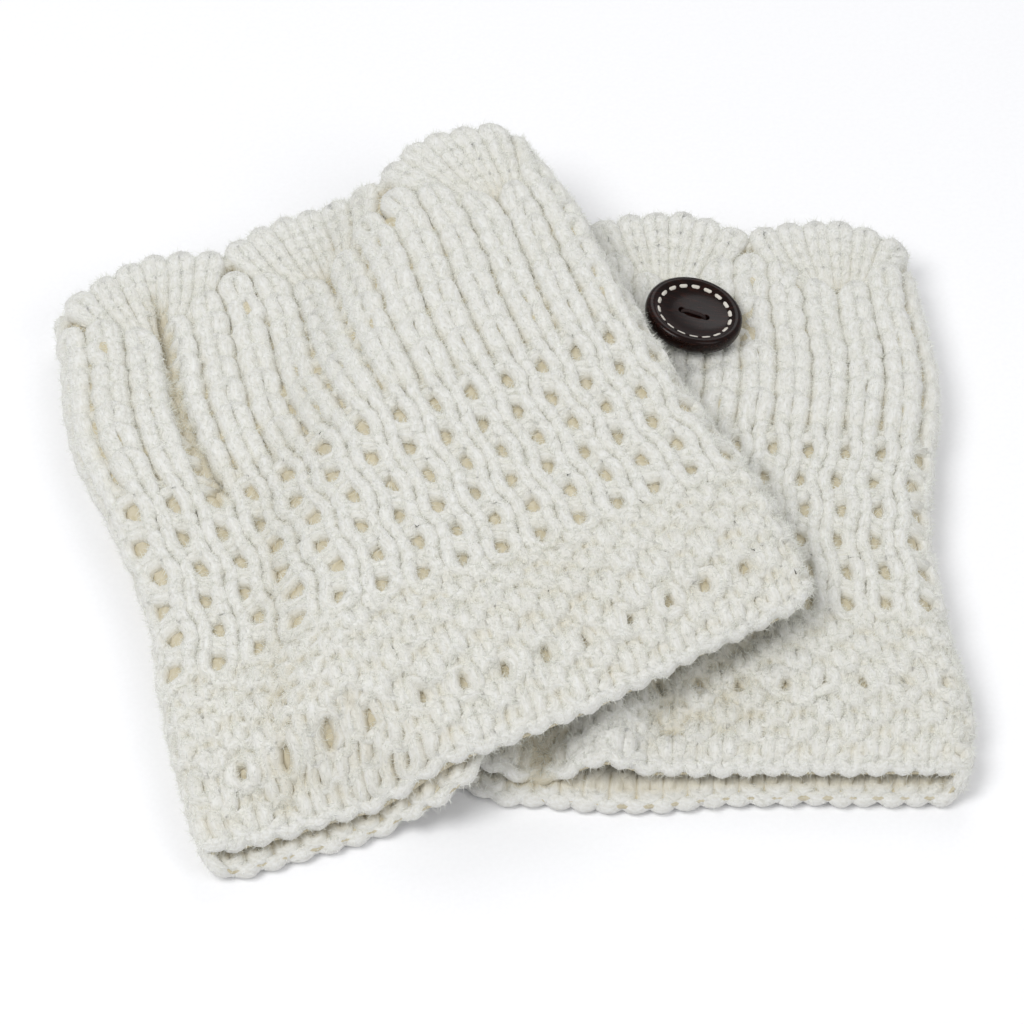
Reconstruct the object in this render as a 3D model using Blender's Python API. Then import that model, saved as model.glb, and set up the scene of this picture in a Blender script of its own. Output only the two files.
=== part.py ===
# Pair of short knitted leg warmers, lying flat, one across the other.
# Metres, +Z up, origin on the floor under the middle of the pair's box.
# Each cuff is a flattened tube: a shell-edged trim, a ribbed band, an eyelet lace body
# and a dense hem band. A round button is sewn on the under cuff's ribs.
import math

import bmesh
import bpy
from mathutils import Matrix, Vector

MM = 0.001

# Driving sizes, in millimetres
WALL = 4.2              # knitted wall, thick yarn
TUBE = 14.0             # flattened tube, both walls and the hollow between them
SEAM_GAP = 0.3          # between neighbouring pieces
RIBS = 30               # ribs round a tube, half of them on each panel
RIBS_PER_FAN = 5
RIDGES_PER_FAN = 6
FAN_SPREAD = 0.72       # below 1: a fan's ridges are wider at its middle than at its sides
CUFF_LENGTH = 162.0     # mean length, top edge to hem
FAN_DEPTH = 24.0        # top edge to the foot of a fan
ARCH_HEIGHT = 9.0       # the ribs rise this far between the feet of two fans
SCALLOP = 6.5           # the top edge falls this far between two fans
RIB_CREST = 1.0
RIB_VALLEY = -1.7
RIB_ROUNDNESS = 0.65    # below 1: round crests and narrow valleys
RIDGE_CREST = 0.6
RIDGE_VALLEY = -1.0
RIDGE_ROUNDNESS = 0.7
LACE_FACE = -0.2        # heights of the outer face over the wall's own, per band
EYELET_RIM = 0.3
EYELET_DEPTH = -2.3
DENSE_FACE = 0.2
SLOT_RIM = 0.3
SLOT_DEPTH = -1.8
TRIM_THINNING = 0.5     # how much thinner the wall is at the ends of a band
RIB_THINNING = 0.7
HEM_THINNING = 0.4
EYELET_ROWS = 6
EYELET_SHIFT = 0.125    # of a rib's pitch, to one side and then the other
HEM_LOOP = 0.6          # the loops of the hem's edge stand out this far
RIB_END = 0.395         # shares of the length, from the top edge
LACE_END = 0.735
OVER_SLOTS = 0.59       # share of the hem band where its row of slots lies
UNDER_SLOTS = 0.42
SLOT_HALF = 0.07        # half the height of a slot, as a share of the hem band
HEM_ROWS = (0.8, 0.92)  # the last rows of points before the hem's edge
LOOPS_PER_RIB = 2
FRONT_START = -2        # ribs from here to there lie on the front panel and the folds
FRONT_END = 16

FACING_START = 0.45     # the relief starts where the wall's normal points down by this
FACING_SPAN = 0.6

# The over cuff lies on the under one: it leaves the floor before the edge below it
REST_GAP = 0.4
RAMP_START = -31.0
RAMP_END = -2.5
HEM_RAMP = 1.3          # the slope over the lower cuff's hem is steeper by this

# The button
BUTTON_RADIUS = 11.5
BUTTON_THICKNESS = 3.6
BUTTON_RIM = 2.2
BUTTON_DISH = 1.3
BUTTON_TILT = 12.0
BUTTON_TURN = -14.0
BUTTON_PLACE = (43.3, 44.9)
BUTTON_BACK_HEIGHT = 16.4
BUTTON_HOLLOW = 3.0     # the ribs are pressed down this far round the button's edge
LEAN_AXIS = (-0.35, 1.0, 0.0)
HOLE_RADIUS = 1.0
HOLE_SPACING = 5.8
HOLE_SIDES = 16
BUTTON_SIDES = 32
THREAD_RADIUS = 0.5
SOFT_EDGE = math.radians(50.0)  # faces that meet at less than this are shaded as one
HARD_EDGE = math.radians(40.0)
MERGE_DISTANCE = 0.01   # points closer than this become one

# Sections of each cuff: share of the length from the top edge, where the left and right
# folds lie on the floor, how far the middle bows towards the hem, how far the left corner
# of the hem is drawn up, how much the left fold is pressed flat, and the ribs between
# the left fold and the first valley
COLUMNS = ("share", "left_x", "left_y", "right_x", "right_y", "bow", "rise", "press", "turn")
OVER_SECTIONS = (
    (0.000, -110.0, 57.5, 0.0, 102.0, -3.0, 0.0, 0.0, 0.83),
    (0.150, -106.5, 34.0, 14.0, 79.0, 0.5, 0.0, 0.0, 0.83),
    (0.290, -102.5, 12.0, 23.5, 56.5, 4.5, 0.0, 0.0, 0.70),
    (0.410, -93.0, -9.5, 31.5, 37.0, 7.5, 0.0, 0.0, 0.60),
    (0.580, -82.5, -38.0, 42.5, 12.0, 7.0, 0.0, 0.0, 0.57),
    (0.755, -77.5, -65.5, 56.0, -11.0, 6.0, 0.0, 0.0, 0.57),
    (0.890, -72.5, -87.0, 64.0, -28.5, 5.0, 0.0, 0.0, 0.57),
    (1.000, -67.0, -105.5, 68.5, -44.0, 4.0, 0.0, 0.0, 0.55),
)
UNDER_SECTIONS = (
    (0.000, -18.0, 88.0, 96.0, 79.0, 0.0, 0.0, 0.0, 0.43),
    (0.150, -22.0, 61.0, 98.5, 55.0, 0.0, 0.0, 0.0, 0.43),
    (0.290, -25.0, 38.0, 101.0, 30.0, 0.0, 0.0, 0.02, 0.43),
    (0.395, -27.0, 20.0, 98.5, 9.5, 0.0, 0.0, 0.03, 0.43),
    (0.565, -30.0, -11.0, 96.0, -16.0, 0.0, 0.0, 0.05, 0.43),
    (0.735, -32.0, -42.0, 98.5, -42.5, 0.0, 3.0, 0.07, 0.43),
    (0.880, -33.0, -65.0, 102.5, -65.0, 0.0, 10.0, 0.10, 0.43),
    (1.000, -33.0, -85.0, 100.0, -85.0, 0.0, 18.0, 0.12, 0.43),
)
RISE_START = -0.5       # of the half width: the hem is drawn up from here to the left fold
RISE_POWER = 1.2
FAN_FOOT = 2            # the first valley where a fan has its foot
PRESS_SIDE = 0.3        # of the half width: the tube is pressed flat from here
PRESS_REACH = 0.9       # and fully so this far towards the left fold
CREASE_FADE = 0.2       # share of a crease's length over which it starts and ends
CREASE_INSIDE = 0.35    # share of a crease's depth that shows inside the tube

# Creases and hollows of the front panels: rib where it starts and ends, share of the length
# where it starts and ends, half width in ribs, depth in millimetres
CREASE_COLUMNS = ("rib_top", "rib_end", "start", "end", "half_width", "depth")
OVER_CREASES = (
    (2.0, 3.3, 0.12, 0.46, 0.75, 2.2),
    (3.2, 1.4, 0.40, 1.05, 0.60, 1.1),
    (8.6, 9.2, 0.62, 0.92, 1.60, 0.7),
)
UNDER_CREASES = (
    (8.5, 8.7, 0.70, 0.95, 1.80, 1.5),
    (12.4, 12.9, 0.55, 0.80, 1.50, 0.6),
)


def clear_scene():
    for item in list(bpy.data.objects):
        bpy.data.objects.remove(item, do_unlink=True)


def clamp(value, low=0.0, high=1.0):
    return max(low, min(high, value))


def smooth(value):
    t = clamp(value)
    return t * t * (3.0 - 2.0 * t)


def section_at(sections, share):
    """Every column of the section table at one share of the length, as a smooth curve."""
    rows = sections
    last = len(rows) - 1
    place = 0
    while place < last - 1 and share > rows[place + 1][0]:
        place += 1
    before = rows[max(place - 1, 0)]
    here = rows[place]
    there = rows[place + 1]
    after = rows[min(place + 2, last)]
    span = there[0] - here[0]
    t = (share - here[0]) / span
    values = {}
    for index, name in enumerate(COLUMNS):
        slope_here = (there[index] - before[index]) / (there[0] - before[0])
        slope_there = (after[index] - here[index]) / (after[0] - here[0])
        if 0.0 <= t <= 1.0:
            values[name] = (
                here[index] * (2 * t ** 3 - 3 * t ** 2 + 1)
                + slope_here * span * (t ** 3 - 2 * t ** 2 + t)
                + there[index] * (3 * t ** 2 - 2 * t ** 3)
                + slope_there * span * (t ** 3 - t ** 2)
            )
        elif t < 0.0:
            values[name] = here[index] + slope_here * (share - here[0])
        else:
            values[name] = there[index] + slope_there * (share - there[0])
    return values


def crease_depth(creases, rib, share):
    """How far the creases pull the wall in at one place."""
    depth = 0.0
    for row in creases:
        crease = dict(zip(CREASE_COLUMNS, row))
        along = (share - crease["start"]) / (crease["end"] - crease["start"])
        if not 0.0 < along < 1.0:
            continue
        middle = crease["rib_top"] + (crease["rib_end"] - crease["rib_top"]) * along
        across = abs(rib - middle) / crease["half_width"]
        if across < 1.0:
            fade = smooth(along / CREASE_FADE) * smooth((1.0 - along) / CREASE_FADE)
            depth += crease["depth"] * fade * (1.0 - smooth(across))
    return depth


def flat_loop(half_width, rib, start):
    """A place on the middle of the wall of a flattened tube: across, up, and its normal.
    Ribs are counted from the left fold, over the front panel, and back under the tube."""
    radius = (TUBE - WALL) / 2.0
    straight = 2.0 * (half_width - TUBE / 2.0)
    bend = math.pi * radius
    total = 2.0 * (straight + bend)
    arc = ((rib + start) / RIBS * total) % total
    across = straight / 2.0
    if arc < bend / 2.0:
        turn = math.pi - arc / radius
        return -across + radius * math.cos(turn), radius * math.sin(turn), math.cos(turn), math.sin(turn)
    arc -= bend / 2.0
    if arc < straight:
        return -across + arc, radius, 0.0, 1.0
    arc -= straight
    if arc < bend:
        turn = math.pi / 2.0 - arc / radius
        return across + radius * math.cos(turn), radius * math.sin(turn), math.cos(turn), math.sin(turn)
    arc -= bend
    if arc < straight:
        return across - arc, -radius, 0.0, -1.0
    arc -= straight
    turn = -math.pi / 2.0 - arc / radius
    return -across + radius * math.cos(turn), radius * math.sin(turn), math.cos(turn), math.sin(turn)


def press_at(section, side):
    """Share of the height that is left where the tube is pressed flat towards its left fold."""
    return 1.0 - section["press"] * smooth((PRESS_SIDE - side) / PRESS_REACH)


def rise_at(section, side):
    """How far the hem's left corner is drawn up, at one place across the tube."""
    reach = clamp((RISE_START - side) / (1.0 + RISE_START))
    return section["rise"] * reach ** RISE_POWER


def under_fold_x(place_y):
    """Where the under cuff's left fold lies, at one place up the floor."""
    rows = UNDER_SECTIONS
    if place_y > rows[0][2]:
        return rows[0][1]
    for here, there in zip(rows, rows[1:]):
        if place_y >= there[2]:
            t = (here[2] - place_y) / (here[2] - there[2])
            return here[1] + (there[1] - here[1]) * t
    return rows[-1][1]


def under_side(place_x):
    """Place across the under cuff's hem, -1 at its left fold and 1 at its right."""
    hem = dict(zip(COLUMNS, UNDER_SECTIONS[-1]))
    middle = (hem["left_x"] + hem["right_x"]) / 2.0
    return clamp((place_x - middle) / ((hem["right_x"] - hem["left_x"]) / 2.0), -1.0, 1.0)


def over_lift(place_x, place_y):
    """Height that the over cuff is raised by the under cuff below it."""
    hem = dict(zip(COLUMNS, UNDER_SECTIONS[-1]))
    top = dict(zip(COLUMNS, UNDER_SECTIONS[0]))
    side = under_side(place_x)
    from_fold = place_x - under_fold_x(place_y)
    from_hem = place_y - (hem["left_y"] + rise_at(hem, side))
    inside = min(from_fold, HEM_RAMP * from_hem)
    share = clamp((top["left_y"] - place_y) / (top["left_y"] - hem["left_y"]))
    pressed = press_at(section_at(UNDER_SECTIONS, share), side)
    full = TUBE * pressed + RIB_CREST + REST_GAP
    return full * smooth((inside - RAMP_START) / (RAMP_END - RAMP_START))


def cuff_point(cuff, rib, share, out):
    """A point of a cuff, out from the middle of its wall, in millimetres on the floor's frame."""
    section = section_at(cuff["sections"], share)
    left = Vector((section["left_x"], section["left_y"]))
    right = Vector((section["right_x"], section["right_y"]))
    middle = (left + right) / 2.0
    half = (right - left) / 2.0
    across, up, normal_across, normal_up = flat_loop(half.length, rib, section["turn"])
    across += normal_across * out
    up += normal_up * out
    side = across / half.length
    direction = half.normalized()
    towards_hem = Vector((direction.y, -direction.x))
    place = middle + direction * across
    place += towards_hem * (section["bow"] * (1.0 - clamp(side, -1.0, 1.0) ** 2) - rise_at(section, side))
    height = (TUBE / 2.0 + up) * press_at(section, side)
    if cuff["lifted"]:
        height += over_lift(place.x, place.y)
    return Vector((place.x, place.y, height))


def facing(cuff, rib, share):
    """1 on the front panel and the folds, 0 where the tube rests."""
    section = section_at(cuff["sections"], share)
    width = math.hypot(section["right_x"] - section["left_x"], section["right_y"] - section["left_y"])
    normal_up = flat_loop(width / 2.0, rib, section["turn"])[3]
    return smooth((normal_up + FACING_START) / FACING_SPAN)


def button_frame():
    """Where the button lies: its middle on its back face, and its turn and tilt."""
    lean = Matrix.Rotation(math.radians(BUTTON_TILT), 4, Vector(LEAN_AXIS).normalized())
    spin = Matrix.Rotation(math.radians(BUTTON_TURN), 4, "Z")
    return Matrix.Translation((BUTTON_PLACE[0], BUTTON_PLACE[1], BUTTON_BACK_HEIGHT)) @ lean @ spin


def press_under_button(point):
    """Keep a point of the ribs below the button's back face."""
    frame = button_frame()
    local = frame.inverted() @ point
    reach = math.hypot(local.x, local.y)
    if reach < BUTTON_RADIUS + BUTTON_HOLLOW and local.z > -REST_GAP:
        local.z = -REST_GAP
        return frame @ local
    return point


def fan_place(rib):
    """Middle rib of the fan that a rib belongs to, and the place across it, -1 to 1."""
    middle = FAN_FOOT + RIBS_PER_FAN * math.floor((rib - FAN_FOOT) / RIBS_PER_FAN + 0.5)
    return middle, (rib - middle) / (RIBS_PER_FAN / 2.0)


def fan_foot(rib):
    """Share of the length where the trim ends and the ribs begin, as a row of arches."""
    across = abs(fan_place(rib)[1])
    return (FAN_DEPTH - ARCH_HEIGHT * math.sin(across * math.pi / 2.0)) / CUFF_LENGTH


def fan_edge(across):
    """Share of the length of the top edge, as a row of scallops."""
    return SCALLOP * (1.0 - math.cos(across * math.pi / 2.0)) / CUFF_LENGTH


def fan_spread(across):
    """Place across a fan's top edge of a ridge that starts at one place across its foot."""
    return math.copysign(abs(across) ** FAN_SPREAD, across)


def columns(per_rib):
    """Ribs at which a ring has its points: close on the front and the folds, wide below."""
    fine = [FRONT_START + index / per_rib for index in range((FRONT_END - FRONT_START) * per_rib)]
    return fine + [float(rib) for rib in range(FRONT_END, RIBS + FRONT_START)]


def whole_ribs(ring):
    """Positions in a ring of the points that lie on a whole rib."""
    return [index for index, rib in enumerate(ring) if abs(rib - round(rib)) < 1e-6]


def loft_wall(name, outer, inner, ties, material, collection, parent):
    """A closed tube wall from rings of outer points and coarser rings of inner points."""
    mesh = bpy.data.meshes.new(name)
    shape = bmesh.new()
    outer_verts = [[shape.verts.new(point * MM) for point in ring] for ring in outer]
    inner_verts = [[shape.verts.new(point * MM) for point in ring] for ring in inner]
    for rings in (outer_verts, inner_verts):
        for upper, lower in zip(rings, rings[1:]):
            for index in range(len(upper)):
                follow = (index + 1) % len(upper)
                shape.faces.new((upper[index], upper[follow], lower[follow], lower[index]))
    for outer_ring, inner_ring in ((outer_verts[0], inner_verts[0]), (outer_verts[-1], inner_verts[-1])):
        close_end(shape, outer_ring, inner_ring, ties)
    bmesh.ops.triangulate(shape, faces=[face for face in shape.faces if len(face.verts) == 4],
                          quad_method="SHORT_EDGE")
    bmesh.ops.recalc_face_normals(shape, faces=shape.faces)
    shape.to_mesh(mesh)
    shape.free()
    mesh.shade_smooth()
    mesh.set_sharp_from_angle(angle=SOFT_EDGE)
    mesh.materials.append(material)
    piece = bpy.data.objects.new(name, mesh)
    collection.objects.link(piece)
    piece.parent = parent
    return piece


def close_end(shape, outer_ring, inner_ring, ties):
    """Join the last outer ring to the last inner one, rib by rib."""
    count = len(outer_ring)
    for index, inner_vert in enumerate(inner_ring):
        inner_next = inner_ring[(index + 1) % len(inner_ring)]
        start = ties[index]
        end = ties[(index + 1) % len(ties)]
        steps = (end - start) % count
        half = (steps + 1) // 2
        for step in range(steps):
            first = outer_ring[(start + step) % count]
            second = outer_ring[(start + step + 1) % count]
            if step == half:
                shape.faces.new((inner_vert, first, inner_next))
            shape.faces.new((inner_vert if step < half else inner_next, first, second))
        if half >= steps:
            shape.faces.new((inner_vert, outer_ring[end], inner_next))


def cuff_wall(cuff, label, places, reliefs, ring, inner_rows, style):
    """One band of a cuff. places gives (rib, share) for a column and a row, reliefs its height."""
    outer = []
    for row in range(len(reliefs)):
        points = []
        for index in range(len(ring)):
            rib, share = places(row, ring[index])
            raised = reliefs[row](rib, index) * facing(cuff, rib, share)
            raised -= crease_depth(cuff["creases"], rib, share)
            point = cuff_point(cuff, rib, share, WALL / 2.0 + raised)
            if cuff["buttoned"]:
                point = press_under_button(point)
            points.append(point)
        outer.append(points)
    ties = whole_ribs(ring)
    inner = []
    for row in inner_rows:
        points = []
        for index in ties:
            rib, share = places(row, ring[index])
            pulled = CREASE_INSIDE * crease_depth(cuff["creases"], rib, share)
            points.append(cuff_point(cuff, rib, share, -WALL / 2.0 - pulled))
        inner.append(points)
    return loft_wall(cuff["name"] + "_" + label, outer, inner, ties, style["material"],
                     style["collection"], style["parent"])


def half_gap():
    return SEAM_GAP / 2.0 / CUFF_LENGTH


def shell_trim(cuff, style):
    """The edging: fans of ridges that spread from a foot between two ribs to a scalloped edge."""
    rows = 4
    per_rib = 6
    ring = columns(per_rib)

    def places(row, rib):
        middle, across = fan_place(rib)
        spread = fan_spread(across)
        part = row / (rows - 1)
        top = fan_edge(spread)
        foot = fan_foot(rib) - half_gap()
        edge_rib = middle + spread * RIBS_PER_FAN / 2.0
        return edge_rib + (rib - edge_rib) * part, top + (foot - top) * part

    def ridge(rib, index):
        spread = fan_spread(fan_place(ring[index])[1])
        wave = abs(math.cos(spread * RIDGES_PER_FAN * math.pi / 2.0))
        return RIDGE_VALLEY + (RIDGE_CREST - RIDGE_VALLEY) * wave ** RIDGE_ROUNDNESS

    def edge(rib, index):
        return ridge(rib, index) - TRIM_THINNING

    reliefs = [edge] + [ridge] * (rows - 1)
    return cuff_wall(cuff, "shell_trim", places, reliefs, ring, (0, rows - 1), style)


def rib_band(cuff, style):
    """The ribbed band: rounded ribs with deep valleys, finger-ended under the fans' arches."""
    rows = 6
    per_rib = 6
    ring = columns(per_rib)

    def places(row, rib):
        top = fan_foot(rib) + half_gap()
        foot = RIB_END - half_gap()
        return rib, top + (foot - top) * row / (rows - 1)

    def rib_height(rib, index):
        wave = abs(math.sin(rib * math.pi))
        return RIB_VALLEY + (RIB_CREST - RIB_VALLEY) * wave ** RIB_ROUNDNESS

    def rib_end(rib, index):
        return rib_height(rib, index) - RIB_THINNING

    reliefs = [rib_end] + [rib_height] * (rows - 2) + [rib_end]
    return cuff_wall(cuff, "rib_band", places, reliefs, ring, (0, 2, rows - 1), style)


def lace_body(cuff, style):
    """The lace: rows of eyelets as small pits in the outer face, each row set to one side."""
    per_rib = 4
    ring = columns(per_rib)
    rows = 2 * EYELET_ROWS + 1
    start = RIB_END + half_gap()
    step = (LACE_END - half_gap() - start) / (rows - 1)

    def places(row, rib):
        shift = 0.0
        if row % 2 == 1:
            shift = EYELET_SHIFT if (row // 2) % 2 == 0 else -EYELET_SHIFT
        return rib + shift, start + step * row

    def plain(rib, index):
        return LACE_FACE

    def pits(rib, index):
        return EYELET_DEPTH if round(ring[index] * per_rib) % per_rib == 0 else EYELET_RIM

    reliefs = [pits if row % 2 == 1 else plain for row in range(rows)]
    return cuff_wall(cuff, "lace_body", places, reliefs, ring, (0, rows // 2, rows - 1), style)


def hem_band(cuff, style):
    """The dense band: one row of slots, and a hem edge of small loops."""
    per_rib = 4
    ring = columns(per_rib)
    start = LACE_END + half_gap()
    middle = cuff["slots"]
    parts = (0.0, middle / 2.0, middle - SLOT_HALF, middle, middle + SLOT_HALF, *HEM_ROWS, 1.0)
    slot_row = parts.index(middle)

    def places(row, rib):
        share = start + (1.0 - start) * parts[row]
        if row == len(parts) - 1:
            wave = math.cos(rib * LOOPS_PER_RIB * 2.0 * math.pi)
            share -= HEM_LOOP / CUFF_LENGTH * (0.5 - 0.5 * wave)
        return rib, share

    def dense(rib, index):
        return DENSE_FACE

    def slots(rib, index):
        return SLOT_DEPTH if round(ring[index] * per_rib) % per_rib == 0 else SLOT_RIM

    def edge(rib, index):
        return -HEM_THINNING

    reliefs = [slots if row == slot_row else dense for row in range(len(parts))]
    reliefs[0] = edge
    reliefs[-1] = edge
    return cuff_wall(cuff, "hem_band", places, reliefs, ring, (0, slot_row, len(parts) - 1), style)


def material(name, colour, roughness):
    """A plain Principled material."""
    item = bpy.data.materials.new(name)
    item.use_nodes = True
    shader = item.node_tree.nodes["Principled BSDF"]
    shader.inputs["Base Color"].default_value = (*colour, 1.0)
    shader.inputs["Roughness"].default_value = roughness
    shader.inputs["Metallic"].default_value = 0.0
    item.diffuse_color = (*colour, 1.0)
    return item


def button(style, cutters):
    """A turned dish with a raised rim and two sewing holes."""
    outer = BUTTON_RADIUS
    thick = BUTTON_THICKNESS
    dish = thick - BUTTON_DISH
    # distance from the axis and height, from the middle of the dish to the middle of the back
    profile = (
        (0.0, dish - 0.3), (outer * 0.45, dish - 0.05), (outer - BUTTON_RIM - 0.9, dish + 0.5),
        (outer - BUTTON_RIM, thick - 0.25), (outer - BUTTON_RIM + 0.6, thick), (outer - 0.8, thick - 0.1),
        (outer - 0.1, thick - 0.8), (outer, thick * 0.55), (outer - 0.7, 0.4), (outer - 1.8, 0.0), (0.0, 0.0),
    )
    mesh = bpy.data.meshes.new("button")
    shape = bmesh.new()
    points = [shape.verts.new((x * MM, 0.0, z * MM)) for x, z in profile]
    for first, second in zip(points, points[1:]):
        shape.edges.new((first, second))
    bmesh.ops.spin(shape, geom=shape.verts[:] + shape.edges[:], cent=(0, 0, 0), axis=(0, 0, 1),
                   angle=2.0 * math.pi, steps=BUTTON_SIDES, use_merge=True)
    bmesh.ops.remove_doubles(shape, verts=shape.verts, dist=MERGE_DISTANCE * MM)
    bmesh.ops.recalc_face_normals(shape, faces=shape.faces)
    shape.to_mesh(mesh)
    shape.free()
    mesh.shade_smooth()
    mesh.set_sharp_from_angle(angle=HARD_EDGE)
    mesh.materials.append(style["material"])
    piece = bpy.data.objects.new("button", mesh)
    style["collection"].objects.link(piece)
    piece.parent = style["parent"]
    piece.matrix_local = in_metres(button_frame())
    for side, label in ((-1, "left"), (1, "right")):
        hole_mesh = bpy.data.meshes.new("hole_" + label)
        hole = bmesh.new()
        bmesh.ops.create_cone(hole, cap_ends=True, segments=HOLE_SIDES, radius1=HOLE_RADIUS * MM,
                              radius2=HOLE_RADIUS * MM, depth=4.0 * thick * MM)
        hole.to_mesh(hole_mesh)
        hole.free()
        cutter = bpy.data.objects.new("hole_" + label, hole_mesh)
        cutters.objects.link(cutter)
        cutter.parent = style["parent"]
        aside = Matrix.Translation((side * HOLE_SPACING / 2.0, 0.0, thick / 2.0))
        cutter.matrix_local = in_metres(button_frame() @ aside)
        cutter.hide_render = True
        cutter.display_type = "WIRE"
        cut = piece.modifiers.new("Hole " + label, "BOOLEAN")
        cut.operation = "DIFFERENCE"
        cut.object = cutter
    return piece


def button_thread(style):
    """Sewing thread: up through one hole, across the dish, and down through the other."""
    half = HOLE_SPACING / 2.0
    top = BUTTON_THICKNESS - BUTTON_DISH + 0.45
    route = (
        (-half, -0.2), (-half, top - 0.5), (-half + 0.35, top + 0.25), (-half * 0.4, top + 0.6),
        (half * 0.4, top + 0.6), (half - 0.35, top + 0.25), (half, top - 0.5), (half, -0.2),
    )
    curve = bpy.data.curves.new("button_thread", "CURVE")
    curve.dimensions = "3D"
    curve.bevel_depth = THREAD_RADIUS * MM
    curve.bevel_resolution = 1
    curve.use_fill_caps = True
    spline = curve.splines.new("POLY")
    spline.points.add(len(route) - 1)
    for point, (x, z) in zip(spline.points, route):
        point.co = (x * MM, 0.0, z * MM, 1.0)
    curve.materials.append(style["material"])
    piece = bpy.data.objects.new("button_thread", curve)
    style["collection"].objects.link(piece)
    piece.parent = style["parent"]
    piece.matrix_local = in_metres(button_frame())
    return piece


def in_metres(matrix):
    """The same placement with its shift turned from millimetres to metres."""
    placed = matrix.copy()
    placed.translation = matrix.translation * MM
    return placed


def centre_on_floor(root, pieces):
    """Move the pair so that its box is centred over the origin and stands on the floor."""
    bpy.context.view_layer.update()
    graph = bpy.context.evaluated_depsgraph_get()
    corners = []
    for piece in pieces:
        held = piece.evaluated_get(graph)
        mesh = held.to_mesh()
        corners += [held.matrix_world @ vert.co for vert in mesh.vertices]
        held.to_mesh_clear()
    low = Vector([min(corner[axis] for corner in corners) for axis in range(3)])
    high = Vector([max(corner[axis] for corner in corners) for axis in range(3)])
    root.location = (-(low.x + high.x) / 2.0, -(low.y + high.y) / 2.0, -low.z)
    bpy.context.view_layer.update()


def main():
    clear_scene()
    collection = bpy.data.collections.new("knitted_leg_warmers")
    bpy.context.scene.collection.children.link(collection)
    cutters = bpy.data.collections.new("cutters")
    bpy.context.scene.collection.children.link(cutters)
    root = bpy.data.objects.new("pair", None)
    collection.objects.link(root)
    cuffs = (
        {"name": "over", "sections": OVER_SECTIONS, "creases": OVER_CREASES, "slots": OVER_SLOTS,
         "lifted": True, "buttoned": False},
        {"name": "under", "sections": UNDER_SECTIONS, "creases": UNDER_CREASES, "slots": UNDER_SLOTS,
         "lifted": False, "buttoned": True},
    )
    bands = (
        (shell_trim, "shell edging", (0.80, 0.79, 0.75)),
        (rib_band, "ribbed knit", (0.77, 0.76, 0.72)),
        (lace_body, "lace knit", (0.74, 0.73, 0.69)),
        (hem_band, "dense knit", (0.78, 0.77, 0.72)),
    )
    pieces = []
    for cuff in cuffs:
        for make, finish, colour in bands:
            style = {"material": material(cuff["name"] + " " + finish, colour, 0.9),
                     "collection": collection, "parent": root}
            pieces.append(make(cuff, style))
    wood = {"material": material("dark wood", (0.035, 0.018, 0.014), 0.3),
            "collection": collection, "parent": root}
    thread = {"material": material("sewing thread", (0.03, 0.02, 0.02), 0.8),
              "collection": collection, "parent": root}
    pieces.append(button(wood, cutters))
    pieces.append(button_thread(thread))
    centre_on_floor(root, pieces)


main()
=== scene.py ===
# A pair of short knitted leg warmers, lying flat, one across the other.
# Each cuff is a thin cloth with rounds of soft yarn laid over it, loop by loop.
import math

import bmesh
import bpy
from mathutils import Matrix, Vector, noise
from mathutils.bvhtree import BVHTree
from mathutils.kdtree import KDTree


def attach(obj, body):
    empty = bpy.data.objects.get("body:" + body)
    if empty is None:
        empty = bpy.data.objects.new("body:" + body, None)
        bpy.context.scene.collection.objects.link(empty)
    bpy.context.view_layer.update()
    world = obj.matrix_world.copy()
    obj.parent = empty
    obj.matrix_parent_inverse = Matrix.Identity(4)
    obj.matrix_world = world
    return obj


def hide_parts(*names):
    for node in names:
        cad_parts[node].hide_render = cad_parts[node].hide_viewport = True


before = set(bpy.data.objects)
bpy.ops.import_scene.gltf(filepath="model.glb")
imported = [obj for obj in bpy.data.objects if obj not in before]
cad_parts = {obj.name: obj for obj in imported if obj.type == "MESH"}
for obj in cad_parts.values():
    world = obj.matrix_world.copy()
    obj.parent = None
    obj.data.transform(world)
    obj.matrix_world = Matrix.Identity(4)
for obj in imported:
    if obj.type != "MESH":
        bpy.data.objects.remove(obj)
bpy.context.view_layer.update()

mm = 0.001
pairShift = Vector((3.247, 3.521, 0.0))  # from the tables' zero to the model's origin, in mm

# The flattened tube both cuffs share, in mm, and shares of its length from the top edge
tube = {
    "wall": 4.2, "height": 14.0, "length": 162.0, "ribs": 30, "ribWidth": 8.4,
    "fanRibs": 5, "fanRidges": 6, "firstFoot": 2, "fanDepth": 24.0, "archHeight": 9.0, "scallop": 6.5,
    "riseStart": -0.5, "risePower": 1.2, "pressSide": 0.3, "pressReach": 0.9, "creaseFade": 0.2,
    "ribCrest": 1.0, "restGap": 0.4, "rampStart": -31.0, "rampEnd": -2.5, "hemRamp": 1.3,
    "hemPinchFrom": 0.8, "frontFrom": -0.45, "frontSpan": 0.6,
}

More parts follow.
